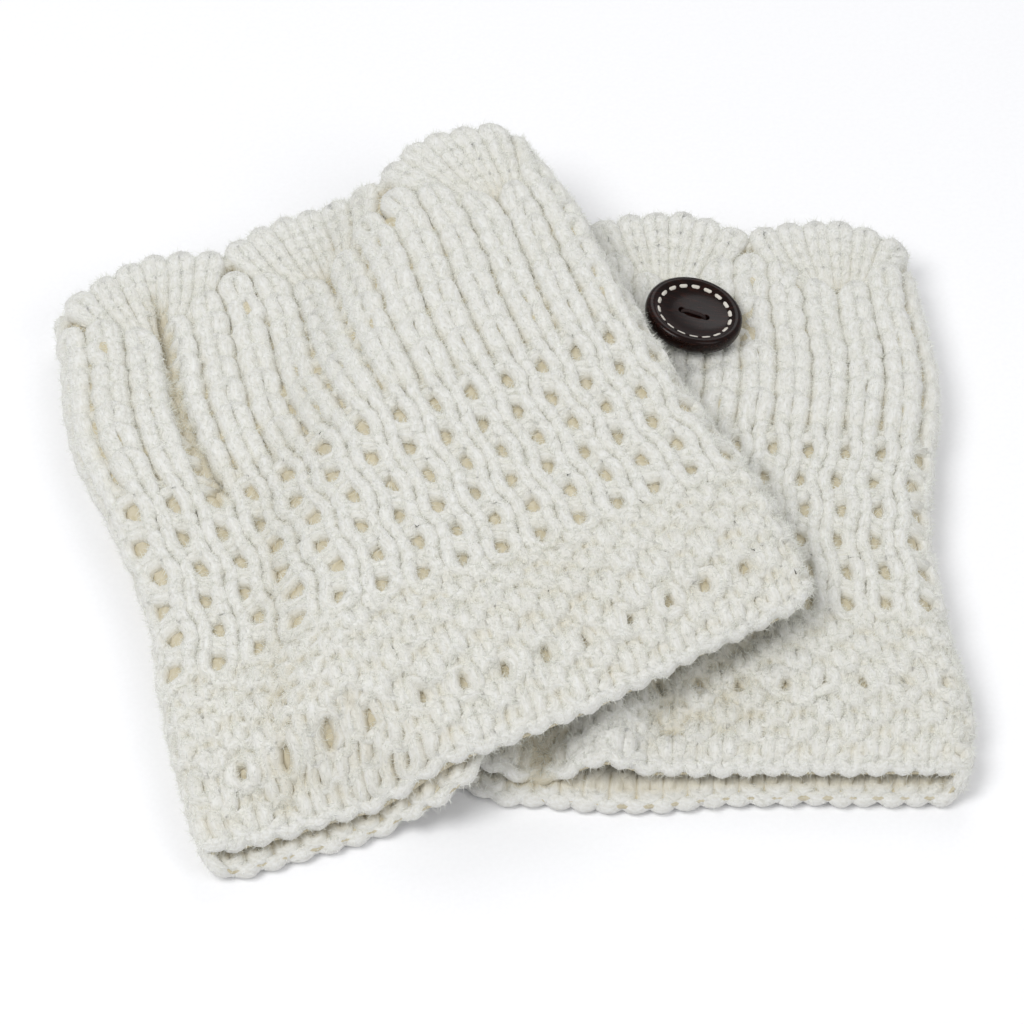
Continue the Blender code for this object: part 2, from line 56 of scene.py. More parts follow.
# A cuff's sections run from its top edge to its hem. Its hem's leads are how far a panel reaches past
# the tube's mean length: a base, then steps of (where across it starts, its width, its height)
sectionNames = ("share", "leftX", "leftY", "rightX", "rightY", "bow", "rise", "press", "turn")
creaseNames = ("ribTop", "ribEnd", "start", "end", "halfWidth", "depth")
overCuff = {
    "name": "over", "lifted": True, "buttoned": False, "slotRow": 0.895, "cut": (0.275, 0.162),
    "hemPinch": 4.9,
    "frontLead": (1.0, ((-0.6, 0.5, 4.0), (0.1, 0.6, -2.5))),
    "backLead": (4.6, ((-0.42, 0.14, 2.4), (-0.22, 0.2, -13.0))),
    "sections": (
        (0.000, -110.0, 57.5, 0.0, 102.0, -3.0, 0.0, 0.0, 0.83),
        (0.150, -106.5, 34.0, 14.0, 79.0, 0.5, 0.0, 0.0, 0.83),
        (0.290, -102.5, 12.0, 23.5, 56.5, 4.5, 0.0, 0.0, 0.70),
        (0.410, -93.0, -9.5, 31.5, 37.0, 7.5, 0.0, 0.0, 0.60),
        (0.580, -82.5, -38.0, 42.5, 12.0, 7.0, 0.0, 0.0, 0.57),
        (0.755, -77.5, -65.5, 56.0, -11.0, 6.0, 0.0, 0.0, 0.57),
        (0.890, -72.5, -87.0, 64.0, -28.5, 5.0, 0.0, 0.0, 0.57),
        (1.000, -67.0, -105.5, 68.5, -44.0, 4.0, 0.0, 0.0, 0.55),
    ),
    "creases": (
        (2.1, 2.45, 0.02, 0.47, 0.48, 4.2),
        (3.2, 1.4, 0.40, 1.05, 0.60, 1.1),
        (8.6, 9.2, 0.62, 0.92, 1.60, 0.7),
    ),
    "archHoles": ((0.4, 0.135), (4.7, 0.135), (9.1, 0.125)),
}
underCuff = {
    "name": "under", "lifted": False, "buttoned": True, "slotRow": 0.850, "cut": (0.256, 0.162),
    "hemPinch": 4.2,
    "frontLead": (-1.2, ()),
    "backLead": (3.0, ((-0.45, 0.35, 2.2), (-0.1, 0.35, -2.2))),
    "sections": (
        (0.000, -18.0, 88.0, 96.0, 79.0, 0.0, 0.0, 0.0, 0.43),
        (0.150, -22.0, 61.0, 98.5, 55.0, 0.0, 0.0, 0.0, 0.43),
        (0.290, -25.0, 38.0, 101.0, 30.0, 0.0, 0.0, 0.02, 0.43),
        (0.395, -27.0, 20.0, 98.5, 9.5, 0.0, 0.0, 0.03, 0.43),
        (0.565, -30.0, -11.0, 96.0, -16.0, 0.0, 0.0, 0.05, 0.43),
        (0.735, -32.0, -42.0, 98.5, -42.5, 0.0, 3.0, 0.07, 0.43),
        (0.880, -33.0, -65.0, 102.5, -65.0, 0.0, 10.0, 0.10, 0.43),
        (1.000, -33.0, -85.0, 100.0, -85.0, 0.0, 18.0, 0.12, 0.43),
    ),
    "creases": (
        (8.5, 8.7, 0.70, 0.95, 1.80, 1.5),
        (12.4, 12.9, 0.55, 0.80, 1.50, 0.6),
        (7.0, 7.0, 0.80, 0.95, 0.90, 1.8),
        (5.6, 5.6, 0.84, 1.16, 1.20, -4.4),
        (4.0, 3.9, 0.82, 1.18, 1.00, 3.4),
    ),
    "archHoles": ((9.5, 0.125), (10.8, 0.125)),
}


def clamp(value, low=0.0, high=1.0):
    return max(low, min(high, value))


def smooth(value):
    part = clamp(value)
    return part * part * (3.0 - 2.0 * part)


def sectionAt(sections, share):
    # every column of a cuff's table at one share of its length, on a smooth curve
    last = len(sections) - 1
    place = 0
    while place < last - 1 and share > sections[place + 1][0]:
        place += 1
    before, here = sections[max(place - 1, 0)], sections[place]
    there, after = sections[place + 1], sections[min(place + 2, last)]
    span = there[0] - here[0]
    t = (share - here[0]) / span
    weights = (2 * t ** 3 - 3 * t ** 2 + 1, t ** 3 - 2 * t ** 2 + t, 3 * t ** 2 - 2 * t ** 3, t ** 3 - t ** 2)
    values = {}
    for column, name in enumerate(sectionNames):
        slopeHere = (there[column] - before[column]) / (there[0] - before[0])
        slopeThere = (after[column] - here[column]) / (after[0] - here[0])
        if t < 0.0:
            values[name] = here[column] + slopeHere * (share - here[0])
        elif t > 1.0:
            values[name] = there[column] + slopeThere * (share - there[0])
        else:
            values[name] = (here[column] * weights[0] + slopeHere * span * weights[1]
                            + there[column] * weights[2] + slopeThere * span * weights[3])
    return values


def flatLoop(halfWidth, rib, start):
    # a place on the middle of a flattened tube's wall: across, up, and its normal
    radius = (tube["height"] - tube["wall"]) / 2.0
    straight = 2.0 * halfWidth - tube["height"]
    bend = math.pi * radius
    total = 2.0 * (straight + bend)
    arc = ((rib + start) / tube["ribs"] * total) % total
    across = straight / 2.0
    if arc < bend / 2.0:
        turn = math.pi - arc / radius
        return radius * math.cos(turn) - across, radius * math.sin(turn), math.cos(turn), math.sin(turn)
    arc -= bend / 2.0
    if arc < straight:
        return arc - across, radius, 0.0, 1.0
    arc -= straight
    if arc < bend:
        turn = math.pi / 2.0 - arc / radius
        return across + radius * math.cos(turn), radius * math.sin(turn), math.cos(turn), math.sin(turn)
    arc -= bend
    if arc < straight:
        return across - arc, -radius, 0.0, -1.0
    turn = -math.pi / 2.0 - (arc - straight) / radius
    return radius * math.cos(turn) - across, radius * math.sin(turn), math.cos(turn), math.sin(turn)


def pressAt(section, side):
    return 1.0 - section["press"] * smooth((tube["pressSide"] - side) / tube["pressReach"])


def riseAt(section, side):
    reach = clamp((tube["riseStart"] - side) / (1.0 + tube["riseStart"]))
    return section["rise"] * reach ** tube["risePower"]


def underFoldX(placeY):
    rows = underCuff["sections"]
    if placeY > rows[0][2]:
        return rows[0][1]
    for here, there in zip(rows, rows[1:]):
        if placeY >= there[2]:
            return here[1] + (there[1] - here[1]) * (here[2] - placeY) / (here[2] - there[2])
    return rows[-1][1]


def overLift(placeX, placeY):
    # height that the over cuff is raised by the one below it
    top = underCuff["sections"][0]
    hem = dict(zip(sectionNames, underCuff["sections"][-1]))
    middle = (hem["leftX"] + hem["rightX"]) / 2.0
    side = clamp((placeX - middle) / ((hem["rightX"] - hem["leftX"]) / 2.0), -1.0, 1.0)
    fromHem = placeY - (hem["leftY"] + riseAt(hem, side))
    inside = min(placeX - underFoldX(placeY), tube["hemRamp"] * fromHem)
    share = clamp((top[2] - placeY) / (top[2] - hem["leftY"]))
    pressed = pressAt(sectionAt(underCuff["sections"], share), side)
    full = tube["height"] * pressed + tube["ribCrest"] + tube["restGap"]
    return full * smooth((inside - tube["rampStart"]) / (tube["rampEnd"] - tube["rampStart"]))


def creaseDepth(cuff, rib, share):
    depth = 0.0
    for row in cuff["creases"]:
        crease = dict(zip(creaseNames, row))
        along = (share - crease["start"]) / (crease["end"] - crease["start"])
        if 0.0 < along < 1.0:
            middle = crease["ribTop"] + (crease["ribEnd"] - crease["ribTop"]) * along
            across = abs(rib % tube["ribs"] - middle) / crease["halfWidth"]
            fade = smooth(along / tube["creaseFade"]) * smooth((1.0 - along) / tube["creaseFade"])
            depth += crease["depth"] * fade * (1.0 - smooth(across))
    return depth


def frontness(cuff, rib, share):
    # 1 on the front panel and the folds, 0 where the tube rests
    section = sectionAt(cuff["sections"], share)
    width = math.hypot(section["rightX"] - section["leftX"], section["rightY"] - section["leftY"])
    normalUp = flatLoop(width / 2.0, rib, section["turn"])[3]
    return smooth((normalUp - tube["frontFrom"]) / tube["frontSpan"])


def hemLead(cuff, side, normalUp):
    base, steps = cuff["frontLead" if normalUp > 0.0 else "backLead"]
    reach = base + sum(height * smooth((side - start) / width) for start, width, height in steps)
    return reach * abs(normalUp)


def cuffPoint(cuff, rib, share, out):
    # a point of a cuff, out from the middle of its wall, in metres
    section = sectionAt(cuff["sections"], share)
    left = Vector((section["leftX"], section["leftY"]))
    right = Vector((section["rightX"], section["rightY"]))
    half = (right - left) / 2.0
    across, up, normalAcross, normalUp = flatLoop(half.length, rib, section["turn"])
    nearHem = smooth((share - tube["hemPinchFrom"]) / (1.0 - tube["hemPinchFrom"]))
    out -= creaseDepth(cuff, rib, share)
    out -= cuff["hemPinch"] * nearHem * max(normalUp, 0.0)
    across += normalAcross * out
    up += normalUp * out
    side = across / half.length
    direction = half.normalized()
    towardsHem = Vector((direction.y, -direction.x))
    place = (left + right) / 2.0 + direction * across
    place += towardsHem * (section["bow"] * (1.0 - clamp(side, -1.0, 1.0) ** 2) - riseAt(section, side))
    place += towardsHem * hemLead(cuff, side, normalUp) * nearHem
    height = (tube["height"] / 2.0 + up) * pressAt(section, side)
    if cuff["lifted"]:
        height += overLift(place.x, place.y)
    return (Vector((place.x, place.y, height)) + pairShift) * mm


def fanMiddle(rib):
    return tube["firstFoot"] + tube["fanRibs"] * math.floor((rib - tube["firstFoot"]) / tube["fanRibs"] + 0.5)


def fanSide(rib):
    # -1 to 1 across the fan that a rib runs into
    return (rib - fanMiddle(rib)) / (tube["fanRibs"] / 2.0)


def fanFoot(rib):
    # where the trim ends and the ribs begin, in mm from the top edge, as a row of arches
    return tube["fanDepth"] - tube["archHeight"] * math.sin(abs(fanSide(rib)) * math.pi / 2.0)


def scallopDip(side):
    # how far the scalloped rim dips below the tube's top edge, in mm
    return tube["scallop"] * (1.0 - math.cos(side * math.pi / 2.0))


def linkPiece(name, mesh):
    piece = bpy.data.objects.new(name, mesh)
    bpy.context.scene.collection.objects.link(piece)
    return piece


def linkShape(name, shape, material=None):
    # a bmesh as an object of the scene
    mesh = bpy.data.meshes.new(name)
    shape.to_mesh(mesh)
    shape.free()
    if material:
        mesh.materials.append(material)
    return linkPiece(name, mesh)


def plainPiece(name, holder, material):
    # the finished mesh of an object with modifiers or of a curve, in place of it
    graph = bpy.context.evaluated_depsgraph_get()
    mesh = bpy.data.meshes.new_from_object(holder.evaluated_get(graph), depsgraph=graph)
    bpy.data.objects.remove(holder)
    mesh.name = name
    mesh.materials.clear()
    mesh.materials.append(material)
    return linkPiece(name, mesh)


def hexColour(code):
    # sRGB hex to linear light
    values = [int(code[i:i + 2], 16) / 255.0 for i in (1, 3, 5)]
    return tuple(v / 12.92 if v <= 0.04045 else ((v + 0.055) / 1.055) ** 2.4 for v in values) + (1.0,)


def addNode(tree, kind, settings=None, links=None, stops=()):
    # one node, its settings, what each of its inputs is or comes from, and its ramp of colours
    node = tree.nodes.new(kind)
    for name, value in (settings or {}).items():
        setattr(node, name, value)
    for name, value in (links or {}).items():
        socket = node.inputs[name]
        if isinstance(value, bpy.types.NodeSocket):
            tree.links.new(value, socket)
        else:
            socket.default_value = value
    for number, (position, code) in enumerate(stops):
        ramp = node.color_ramp.elements
        stop = ramp[number] if number < 2 else ramp.new(position)
        stop.position = position
        stop.color = hexColour(code)
    return node


def repeats(size):
    # a pattern's scale on Object coordinates, from its real size in mm
    return 1.0 / (size * mm)


# The button: a turned wooden dish with a raised rim and two holes, in mm and degrees.
# hollow is how wide the yarn is pressed down round it
buttonLook = {
    "radius": 11.8, "thick": 4.3, "rim": 2.2, "dish": 1.3, "holeRadius": 1.0, "holeSpacing": 5.8,
    "place": (42.8, 45.5, 16.4), "axis": (-0.35, 1.0, 0.0), "tilt": 12.0, "spin": -14.0, "hollow": 2.5,
    "segments": 96, "holeSegments": 32, "sharp": 35.0,
}


def buttonFrame():
    lean = Matrix.Rotation(math.radians(buttonLook["tilt"]), 4, Vector(buttonLook["axis"]).normalized())
    spin = Matrix.Rotation(math.radians(buttonLook["spin"]), 4, "Z")
    place = Matrix.Translation((Vector(buttonLook["place"]) + pairShift) * mm)
    return place @ lean @ spin @ Matrix.Scale(mm, 4)


# Knitting: rounds of loops, each from its foot over its head to its foot again, in mm.
# loop is half a loop's height, lean how far its legs bow out, close how far they draw together,
# depth its wave out of the cloth, groove the dip and head the crest, thin how much the head narrows
ribLook = {
    "stitches": 30, "rounds": 7, "steps": 16, "loop": 4.4, "lean": 0.8, "base": 0.0, "depth": 0.6,
    "groove": 0.5, "head": 1.2, "thin": 0.14, "radius": 2.85, "close": 0.032,
    "topGap": 4.6, "archRise": 2.5, "lastRound": 57.9,
}
laceLook = {
    "stitches": 30, "rounds": 12, "steps": 16, "loop": 3.2, "lean": 0.8, "base": 0.1, "depth": 0.55,
    "groove": -0.9, "head": 0.7, "thin": 0.2, "radius": 2.1, "close": 0.03,
    "firstRound": 62.9, "pitch": 4.593,
}
denseLook = {
    "stitches": 48, "rounds": 9, "steps": 12, "loop": 3.0, "lean": 0.8, "base": 0.1, "depth": 0.55,
    "groove": 0.0, "head": 0.0, "thin": 0.0, "radius": 2.25, "close": 0.0,
    "firstRound": 118.6, "lastRound": 154.2,
}
edgeLook = {
    "stitches": 48, "steps": 8, "loop": -0.6, "lean": 0.0, "base": 0.1, "depth": 0.2,
    "groove": 0.0, "head": 0.0, "thin": 0.0, "radius": 1.85, "close": 0.0, "round": 157.9,
}
fanLook = {
    "rounds": (0.25, 0.44, 0.63, 0.82), "steps": 12, "loop": 3.3, "lean": 0.8, "base": 0.1, "depth": 0.6,
    "groove": 0.1, "head": 1.1, "thin": 0.05, "radius": 2.9, "close": 0.035,
    "spread": 0.45, "footShare": 0.45, "reach": (0.02, 1.2),
}
shellEdgeLook = {
    "steps": 6, "loop": -0.45, "lean": 0.0, "base": 0.1, "depth": 0.2, "groove": 0.0, "head": 0.0,
    "thin": 0.0, "radius": 2.1, "close": 0.0, "reach": 0.915,
}
# half width and half height of a hole, and how far the cloth bulges out behind it, in mm
holeLook = {
    "eyelet": (2.25, 3.9, 1.15), "slot": (2.3, 2.9, 0.35), "arch": (2.3, 2.6, 0.6), "reach": 1.35, "push": 1.5,
    "rows": 6, "firstRow": 68.57, "stagger": 0.125, "slotShift": -0.12, "spare": 2,
}
# how all the yarn wanders, how deep its loops are on the back panel, and the least gap below it, in mm
strandLook = {"wobble": 0.45, "spacing": 7.0, "uneven": 0.12, "seed": 5, "overPlace": 40.0,
              "backDepth": 0.4, "purlEnd": 3.0, "gap": 0.1}
noise.seed_set(strandLook["seed"])  # unseeded, noise_vector would follow the clock


def makeHoles(cuff):
    # rib and place along in mm of each hole, then its sizes, with some to spare where the rounds close
    ribs = range(-holeLook["spare"], tube["ribs"] + holeLook["spare"])
    holes = []
    for row in range(holeLook["rows"]):
        shift = holeLook["stagger"] if row % 2 == 0 else -holeLook["stagger"]
        along = holeLook["firstRow"] + 2.0 * laceLook["pitch"] * row
        holes += [(rib + shift, along, *holeLook["eyelet"]) for rib in ribs]
    slots = cuff["slotRow"] * tube["length"]
    holes += [(rib + holeLook["slotShift"], slots, *holeLook["slot"]) for rib in ribs]
    holes += [(rib, share * tube["length"], *holeLook["arch"]) for rib, share in cuff["archHoles"]]
    return holes


def openHoles(holes, rib, along):
    # yarn near a hole is pushed out to its rim
    reach = holeLook["reach"]
    for holeRib, holeAlong, halfWidth, halfHeight, bulge in holes:
        away = (along - holeAlong) / halfHeight
        if abs(away) > reach:
            continue
        aside = (rib - holeRib) * tube["ribWidth"] / halfWidth
        far = math.hypot(aside, away)
        if 0.001 < far < reach:
            pushed = 1.0 + (reach - 1.0) * (far / reach) ** holeLook["push"]
            rib = holeRib + aside * pushed / far * halfWidth / tube["ribWidth"]
            along = holeAlong + away * pushed / far * halfHeight
            return rib, along
    return rib, along


def underButton(point, thick):
    # yarn near the button is pressed down below its back
    local = buttonFrame().inverted() @ point
    reach = math.hypot(local.x, local.y)
    limit = buttonLook["radius"] + thick + buttonLook["hollow"]
    if reach < limit:
        ease = smooth((limit - reach) / buttonLook["hollow"])
        local.z = min(local.z, local.z * (1.0 - ease) - (thick + strandLook["gap"]) * ease)
    return buttonFrame() @ local


def loopRound(cuff, look, place, stitches, purl=None):
    # the points of one round, each with its thickness and the depth of the crease that it lies in:
    # place turns stitches across and mm up into rib, mm along and a share of the full thickness
    points = []
    for stitch in range(stitches):
        for step in range(look["steps"]):
            turn = 2.0 * math.pi * step / look["steps"] - math.pi
            across = (turn + look["lean"] * math.sin(2.0 * turn)) / (2.0 * math.pi)
            across -= look["close"] * math.sin(2.0 * math.pi * across)
            lift = -math.cos(2.0 * turn)
            if purl is not None:
                lift *= (-1.0 if purl(stitch) else 1.0)
                lift *= smooth((math.pi - abs(turn)) / (math.pi / strandLook["purlEnd"]))
            rib, along, shrink = place(stitch + 0.5 + across, look["loop"] * math.cos(turn))
            rib, along = openHoles(cuff["holes"], rib, along)
            share = along / tube["length"]
            front = frontness(cuff, rib, share)
            flat = strandLook["backDepth"] + (1.0 - strandLook["backDepth"]) * front
            head = (0.5 + 0.5 * math.cos(turn)) ** 2
            out = look["base"] * front + look["depth"] * lift * flat * shrink
            out -= look["groove"] * (0.5 - 0.5 * math.cos(turn)) * front
            out += look["head"] * head * front * shrink
            offset = strandLook["overPlace"] if cuff["lifted"] else 0.0
            spot = Vector((rib * tube["ribWidth"], along, offset)) / strandLook["spacing"]
            wobble = noise.noise_vector(spot) * strandLook["wobble"]
            point = cuffPoint(cuff, rib + wobble.x / tube["ribWidth"], share + wobble.y / tube["length"],
                              out + wobble.z * front)
            thick = look["radius"] * shrink * (1.0 + strandLook["uneven"] * noise.noise(spot * 2.0))
            thick *= 1.0 - look["thin"] * head
            if cuff["buttoned"]:
                point = underButton(point, thick)
            point.z = max(point.z, (thick + strandLook["gap"]) * mm)
            points.append((point, thick, creaseDepth(cuff, rib, share)))
    return points


def ribRounds(cuff):
    rounds = []
    for number in range(ribLook["rounds"]):
        def place(stitches, up):
            archShare = (tube["fanDepth"] - fanFoot(stitches)) / tube["archHeight"]
            top = fanFoot(stitches) + ribLook["topGap"] - ribLook["archRise"] * archShare
            middle = top + (ribLook["lastRound"] - top) * number / (ribLook["rounds"] - 1)
            return stitches, middle - up, 1.0
        rounds.append(loopRound(cuff, ribLook, place, ribLook["stitches"]))
    return rounds


def laceRounds(cuff):
    rounds = []
    for number in range(laceLook["rounds"]):
        def place(stitches, up):
            return stitches, laceLook["firstRound"] + laceLook["pitch"] * number - up, 1.0
        rounds.append(loopRound(cuff, laceLook, place, laceLook["stitches"]))
    return rounds


def denseRounds(cuff):
    # knit and purl by turns, and a last round of small loops along the hem
    perStitch = tube["ribs"] / denseLook["stitches"]
    pitch = (denseLook["lastRound"] - denseLook["firstRound"]) / (denseLook["rounds"] - 1)
    rounds = []
    for number in range(denseLook["rounds"]):
        def place(stitches, up):
            return stitches * perStitch, denseLook["firstRound"] + pitch * number - up, 1.0

        def purl(stitch):
            return (stitch + number) % 2 == 0
        rounds.append(loopRound(cuff, denseLook, place, denseLook["stitches"], purl))

    def edgePlace(stitches, up):
        return stitches * perStitch, edgeLook["round"] - up, 1.0
    rounds.append(loopRound(cuff, edgeLook, edgePlace, edgeLook["stitches"]))
    return rounds


def fanRounds(cuff):
    # each fan's ridges run from its foot to the scalloped edge
    rounds = []
    ridges = tube["fanRidges"]
    for fan in range(tube["ribs"] // tube["fanRibs"]):
        foot = tube["firstFoot"] + fan * tube["fanRibs"]
        for part in fanLook["rounds"]:
            def place(stitches, up):
                edge = stitches / ridges * 2.0 - 1.0
                ridgeLength = tube["fanDepth"] - scallopDip(edge)
                reach = clamp(part + up / ridgeLength, *fanLook["reach"])
                rib = foot + edge * tube["fanRibs"] / 2.0 * reach ** fanLook["spread"]
                shrink = fanLook["footShare"] + (1.0 - fanLook["footShare"]) * clamp(reach)
                return rib, tube["fanDepth"] - ridgeLength * reach, shrink
            rounds.append(loopRound(cuff, fanLook, place, ridges))
    return rounds


def shellEdge(cuff):
    # one strand along the scalloped edge of all the fans
    def place(stitches, up):
        rib = stitches / tube["fanRidges"] * tube["fanRibs"] + tube["firstFoot"]
        ridgeLength = tube["fanDepth"] - scallopDip(fanSide(rib))
        return rib, tube["fanDepth"] - ridgeLength * shellEdgeLook["reach"] - up, 1.0
    return [loopRound(cuff, shellEdgeLook, place, tube["ribs"] // tube["fanRibs"] * tube["fanRidges"])]


# The yarn: how much painted shade a crease adds to it (a ridge gets painted light), one UV unit along the
# strand, a fibre's length and width and a tuft's size in mm, and the heights above the cloth, in mm, between
# which its colour turns from tan painted shade to white
yarnLook = {
    "creaseShade": 0.55, "unit": 10.0, "fibre": (1.67, 0.625), "tuft": 0.909, "hollow": 0.6, "crest": 3.9,
    "colours": ((0.05, "#dfd8c4"), (0.3, "#e8e4d7"), (0.6, "#eeede7"), (0.95, "#f2f2ef")),
    "streaks": ((0.30, "#dcd8cc"), (0.70, "#ffffff")), "streak": 0.55, "relief": 0.4, "seeThrough": 0.06,
}


def yarnPiece(name, rounds, closed, surface, material):
    curve = bpy.data.curves.new(name, "CURVE")
    curve.dimensions = "3D"
    curve.bevel_depth = mm
    curve.bevel_resolution = 1
    curve.use_fill_caps = not closed
    for points in rounds:
        spline = curve.splines.new("POLY")
        spline.points.add(len(points) - 1)
        for target, (place, thick, dip) in zip(spline.points, points):
            target.co = (*place, 1.0)
            target.radius = thick
        spline.use_cyclic_u = closed
    piece = plainPiece(name, linkPiece(name + "Curve", curve), material)
    mesh = piece.data
    length = sum((b[0] - a[0]).length for a, b in zip(rounds[0], rounds[0][1:])) / mm
    for entry in mesh.uv_layers[0].data:
        entry.uv = (entry.uv.x * length / yarnLook["unit"], entry.uv.y)
    # how far each place of the yarn stands off the cloth, and the same less the crease that it lies in
    heights = [surface.find_nearest(vertex.co)[3] / mm for vertex in mesh.vertices]
    route = [point for points in rounds for point in points]
    nearRoute = KDTree(len(route))
    for number, point in enumerate(route):
        nearRoute.insert(point[0], number)
    nearRoute.balance()
    # painted shade: the height less the crease, so that the yarn turns tan low on the cloth and in creases, and
    # lighter on ridges
    paintedShades = [height - yarnLook["creaseShade"] * route[nearRoute.find(vertex.co)[1]][2]
              for height, vertex in zip(heights, mesh.vertices)]
    mesh.attributes.new("rise", "FLOAT", "POINT").data.foreach_set("value", heights)
    mesh.attributes.new("shade", "FLOAT", "POINT").data.foreach_set("value", paintedShades)
    mesh.shade_smooth()
    return piece


# The cloth under the yarn, in mm: out from the middle of the wall, more in the seams between ribs, on
# the ribs and on the fans, and behind a hole its bulge, which fades out in shares of the hole's size
clothLook = {
    "perRib": 6, "rows": 70, "out": -0.8, "thickness": 0.9, "start": 3.0, "end": 159.0, "weld": 0.05,
    "seam": 1.2, "rib": 2.1, "fan": 1.3, "seamWidth": 0.3, "seamEnd": 62.0, "ease": 4.0, "rimEase": 8.0,
    "bulgeEnd": 1.4, "bulgeFade": 0.7, "bulgeReach": 1.3, "measurePerRib": 4, "measureRows": 44,
    "measureFrom": 0.04,
}


def rollGrid(perRib, rows, placeOf):
    # a grid of ribs and shares along, rolled into the flattened tube and closed
    shape = bmesh.new()
    bmesh.ops.create_grid(shape, x_segments=tube["ribs"] * perRib, y_segments=rows, size=0.5)
    for vert in shape.verts:
        vert.co = placeOf((vert.co.x + 0.5) * tube["ribs"], vert.co.y + 0.5)
    bmesh.ops.remove_doubles(shape, verts=shape.verts, dist=clothLook["weld"] * mm)
    bmesh.ops.recalc_face_normals(shape, faces=shape.faces)
    return shape


def clothPiece(cuff, material):
    def placeOf(rib, part):
        edge = scallopDip(fanSide(rib))
        along = clothLook["start"] + part * (clothLook["end"] - clothLook["start"])
        along = max(along, edge + clothLook["start"])
        raised = 0.0
        for holeRib, holeAlong, halfWidth, halfHeight, bulge in cuff["holes"]:
            if abs(along - holeAlong) > clothLook["bulgeReach"] * halfHeight or abs(rib - holeRib) > 1.0:
                continue
            far = math.hypot((rib - holeRib) * tube["ribWidth"] / halfWidth, (along - holeAlong) / halfHeight)
            raised = max(raised, bulge * smooth((clothLook["bulgeEnd"] - far) / clothLook["bulgeFade"]))
        # between two ribs the cloth stands up less, so that its tan, which is painted shade, shows as a thin
        # line
        seam = smooth(1.0 - abs(rib - round(rib)) / clothLook["seamWidth"])
        seam = clothLook["rib"] + (clothLook["seam"] - clothLook["rib"]) * seam
        seam *= smooth((clothLook["seamEnd"] - along) / clothLook["ease"])
        seam *= smooth((along - fanFoot(rib)) / clothLook["ease"])
        fan = clothLook["fan"] * smooth((fanFoot(rib) - along) / clothLook["ease"])
        fan *= smooth((along - edge) / clothLook["rimEase"])
        point = cuffPoint(cuff, rib, along / tube["length"], clothLook["out"] + raised + seam + fan)
        point.z = max(point.z, clothLook["thickness"] * mm)
        return point

    name = cuff["name"] + "Cloth"
    piece = linkShape(name, rollGrid(clothLook["perRib"], clothLook["rows"], placeOf))
    piece.data.shade_smooth()
    solid = piece.modifiers.new("Cloth thickness", "SOLIDIFY")
    solid.thickness = clothLook["thickness"] * mm
    solid.offset = 0.0
    return plainPiece(name, piece, material)


def measureSurface(cuff):
    # the cloth's surface short of its edges, to measure how far out the yarn is
    def placeOf(rib, part):
        share = clothLook["measureFrom"] + part * (1.0 - 2.0 * clothLook["measureFrom"])
        return cuffPoint(cuff, rib, share, clothLook["out"])

    shape = rollGrid(clothLook["measurePerRib"], clothLook["measureRows"], placeOf)
    surface = BVHTree.FromBMesh(shape)
    shape.free()
    return surface


# Stray fibres: how many to a square metre, and their share on the sides that face down; how far above
# the cloth and the floor they start, a fibre's length and width, in mm; its sizes, lean and twist
fuzzLook = {
    "density": 2400000.0, "hidden": 0.06, "facing": (-0.4, 0.1), "above": 1.9, "low": 3.5,
    "length": 1.6, "width": 0.17, "sizes": (0.5, 1.3), "lean": 1.1, "twist": 3.14,
    "seed": 4, "leanSeed": 9,
}


